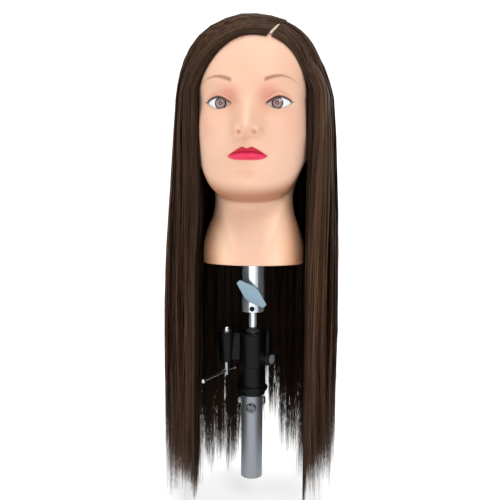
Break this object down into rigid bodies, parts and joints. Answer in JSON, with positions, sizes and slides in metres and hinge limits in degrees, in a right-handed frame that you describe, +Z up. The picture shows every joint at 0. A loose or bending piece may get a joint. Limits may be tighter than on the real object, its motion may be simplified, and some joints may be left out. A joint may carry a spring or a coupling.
{
  "type": "mannequin training head",
  "caption": "Hairdressing training head with long straight hair, hollow vinyl skin and a neck socket, on a ball-jointed stand top with locking screws and a round pole end.",
  "frame": {"origin": "centre of the flat lower end of the pole", "axes": "+Z up along the pole; the face looks along -Y; +X is the wearer's left"},
  "size_m": [0.196, 0.2192, 0.548],
  "materials": {
    "vinyl": "satin soft vinyl, skin coloured",
    "foam": "open, dull foam",
    "socket_plastic": "moulded, slightly grainy",
    "acrylic": "clear over a printed iris",
    "hair": "long straight fibres with a soft sheen",
    "aluminium": "satin anodised",
    "chrome": "bright plate",
    "zinc": "pale blue zinc plate",
    "black_paint": "fine satin black",
    "black_plastic": "moulded black nylon",
    "nylon": "natural nylon",
    "steel": "plain bright steel"
  },
  "bodies": {
    "pole": {"pole_tube": "aluminium", "pole_end_plug": "black_plastic", "pole_cap": "black_plastic", "side_bolt": "steel", "side_nut": "steel", "front_bolt": "steel", "front_nut": "steel"},
    "housing": {"clamp_housing": "black_paint", "socket_cap": "black_paint", "clamp_washer": "steel", "clamp_nut": "chrome"},
    "clamp_screw": {"clamp_screw": "steel"},
    "tommy": {"tommy_bar": "chrome", "tommy_knob_near": "chrome", "tommy_knob_far": "chrome"},
    "lever": {"lock_lever": "black_plastic", "lever_stud": "steel", "lever_cap": "steel"},
    "liner": {"ball_liner": "nylon"},
    "ball": {"ball_stud": "chrome"},
    "adaptor": {"adaptor_tube": "chrome", "adaptor_bush": "aluminium", "adaptor_cap": "black_plastic", "set_screw": "black_paint"},
    "wing": {"wing_handle": "zinc", "wing_stud": "zinc"},
    "head": {"head_shell": "vinyl", "foam_core": "foam", "neck_base_plate": "socket_plastic", "neck_socket": "socket_plastic", "right_eye": "acrylic", "left_eye": "acrylic", "hair_top_right": "hair", "hair_top_left": "hair", "hair_side_right": "hair", "hair_side_left": "hair", "hair_back": "hair"},
    "hair_falls": {"hair_fall_right": "hair", "hair_fall_left": "hair"},
    "hair_rear": {"hair_fall_back": "hair"}
  },
  "joints": [
    {"name": "stand_turn", "type": "hinge", "parent": "pole", "child": "housing", "pos_m": [0, 0, 0.142], "axis": [0, 0, 1], "continuous": true},
    {"name": "head_lean", "type": "hinge", "parent": "housing", "child": "liner", "pos_m": [0, 0, 0.166], "axis": [0, 1, 0], "range_deg": [-10, 10]},
    {"name": "head_nod", "type": "hinge", "parent": "liner", "child": "ball", "pos_m": [0, 0, 0.166], "axis": [1, 0, 0], "range_deg": [-30, 30]},
    {"name": "adaptor_height", "type": "slide", "parent": "ball", "child": "adaptor", "axis": [0, 0, 1], "range_m": [-0.012, 0.02]},
    {"name": "wing_screw_turn", "type": "hinge", "parent": "adaptor", "child": "wing", "pos_m": [0, -0.02, 0.2185], "axis": [0, -1, 0], "range_deg": [-10, 350]},
    {"name": "head_seating", "type": "slide", "parent": "adaptor", "child": "head", "axis": [0, 0, -1], "range_m": [-0.1, 0]},
    {"name": "hair_swing_sides", "type": "hinge", "parent": "head", "child": "hair_falls", "pos_m": [0, 0, 0.262], "axis": [1, 0, 0], "range_deg": [-18, 18]},
    {"name": "hair_swing_back", "type": "hinge", "parent": "head", "child": "hair_rear", "pos_m": [0, 0.08, 0.262], "axis": [1, 0, 0], "range_deg": [-18, 18]},
    {"name": "clamp_screw_turn", "type": "hinge", "parent": "housing", "child": "clamp_screw", "pos_m": [-0.031, 0, 0.128], "axis": [0, 0, 1], "range_deg": [0, 75]},
    {"name": "tommy_bar_slide", "type": "slide", "parent": "clamp_screw", "child": "tommy", "axis": [-0.3746, -0.9272, 0], "range_m": [-0.014, 0]},
    {"name": "lock_lever_turn", "type": "hinge", "parent": "housing", "child": "lever", "pos_m": [0, 0, 0.142], "axis": [0.891, -0.454, 0], "range_deg": [0, 90]}
  ],
  "couplings": [
    {"joint": "hair_swing_sides", "follows": "head_nod", "ratio": -0.6},
    {"joint": "hair_swing_back", "follows": "head_nod", "ratio": -0.6}
  ]
}
